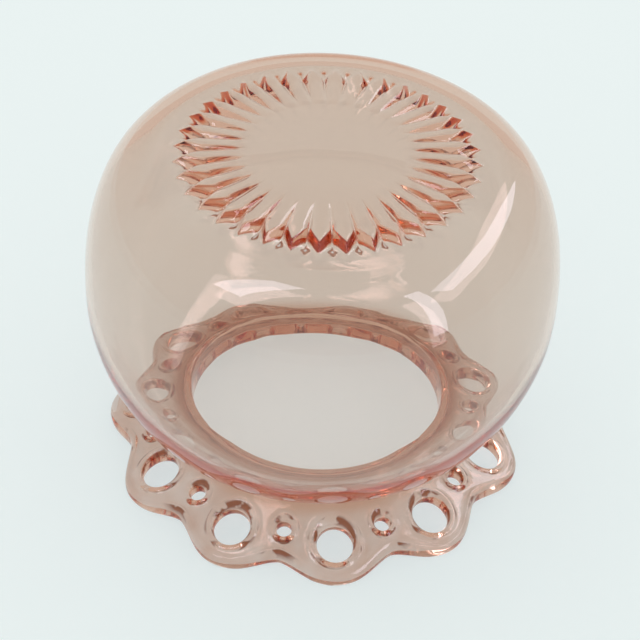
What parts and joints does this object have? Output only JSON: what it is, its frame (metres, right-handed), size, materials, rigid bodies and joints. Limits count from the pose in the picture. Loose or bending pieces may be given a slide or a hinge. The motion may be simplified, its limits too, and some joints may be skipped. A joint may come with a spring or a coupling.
{
  "type": "candy dish",
  "caption": "Globe-shaped pink pressed-glass candy dish with a rayed base and a scalloped openwork rim, lying mouth down on its rim.",
  "frame": {"origin": "centre of the plane that the rim's scallops rest on, mouth down", "axes": "+Z along the dish's axis from the mouth to the base, -Y through the middle of one scallop"},
  "size_m": [0.152, 0.152, 0.1195],
  "materials": {
    "pink_glass": "fire-polished, clear"
  },
  "bodies": {
    "root": {"base_disc": "pink_glass", "ray_ring": "pink_glass", "shoulder": "pink_glass", "upper_wall": "pink_glass", "lower_wall": "pink_glass", "underside": "pink_glass", "neck": "pink_glass", "lace_rim": "pink_glass"}
  },
  "joints": []
}
